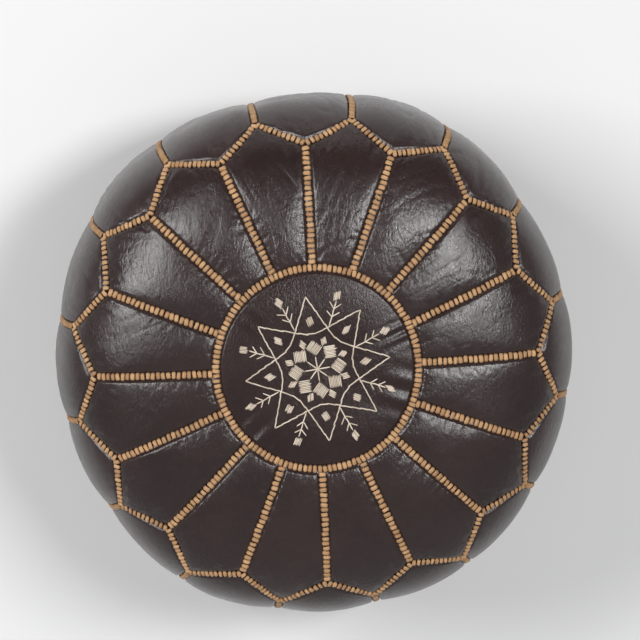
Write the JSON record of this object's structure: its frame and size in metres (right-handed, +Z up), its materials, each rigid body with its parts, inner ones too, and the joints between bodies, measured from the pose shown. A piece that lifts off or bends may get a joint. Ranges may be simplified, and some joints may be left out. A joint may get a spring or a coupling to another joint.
{
  "type": "moroccan leather pouf",
  "caption": "Round stuffed leather pouf with a pieced petal top, an embroidered medallion, panelled side and a zip in its base.",
  "frame": {"origin": "on the floor, under the middle of the pouf as it stands on its base", "axes": "+Z up out of the middle of the embroidered top, +X along the zip in the base"},
  "size_m": [0.53, 0.53, 0.3257],
  "materials": {
    "face_leather": "dark chocolate brown goatskin, waxed to a soft sheen",
    "side_leather": "dark chocolate brown goatskin, waxed to a soft sheen",
    "base_leather": "dark chocolate brown goatskin, matt",
    "embroidery_thread": "cream silk thread, satin stitched",
    "stitching_thread": "light tan floss, thick whip stitches",
    "side_stitching_thread": "tan floss, close overcast stitches",
    "stuffing": "off-white cotton waste wadding",
    "zip_tape": "dark brown woven zip tape",
    "zip_metal": "antique brass"
  },
  "bodies": {
    "cover": {"medallion": "face_leather", "embroidery": "embroidery_thread", "petal_01": "face_leather", "petal_02": "face_leather", "petal_03": "face_leather", "petal_04": "face_leather", "petal_05": "face_leather", "petal_06": "face_leather", "petal_07": "face_leather", "petal_08": "face_leather", "petal_09": "face_leather", "petal_10": "face_leather", "petal_11": "face_leather", "petal_12": "face_leather", "petal_13": "face_leather", "petal_14": "face_leather", "petal_15": "face_leather", "petal_16": "face_leather", "side_panel_01": "side_leather", "side_panel_02": "side_leather", "side_panel_03": "side_leather", "side_panel_04": "side_leather", "side_panel_05": "side_leather", "side_panel_06": "side_leather", "side_panel_07": "side_leather", "side_panel_08": "side_leather", "side_panel_09": "side_leather", "side_panel_10": "side_leather", "side_panel_11": "side_leather", "side_panel_12": "side_leather", "side_panel_13": "side_leather", "side_panel_14": "side_leather", "side_panel_15": "side_leather", "side_panel_16": "side_leather", "base_half_front": "base_leather", "base_half_back": "base_leather", "stuffing": "stuffing", "ring_stitching": "stitching_thread", "petal_seam_stitching": "stitching_thread", "petal_edge_stitching": "stitching_thread", "side_seam_stitching": "side_stitching_thread", "base_seam_stitching": "side_stitching_thread", "zip_tape_front": "zip_tape", "zip_tape_back": "zip_tape", "zip_teeth_front": "zip_metal", "zip_teeth_back": "zip_metal", "zip_stops": "zip_metal"},
    "zip_slider": {"zip_slider": "zip_metal"},
    "zip_pull": {"zip_pull": "zip_metal"}
  },
  "joints": [
    {"name": "zip_slide", "type": "slide", "parent": "cover", "child": "zip_slider", "axis": [-1, 0, 0], "range_m": [0, 0.258], "deforming": ["zip_teeth_front", "zip_teeth_back"]},
    {"name": "zip_pull_swing", "type": "hinge", "parent": "zip_slider", "child": "zip_pull", "pos_m": [0.133, 0, 0.00605], "axis": [0, -1, 0], "range_deg": [0, 175]}
  ]
}
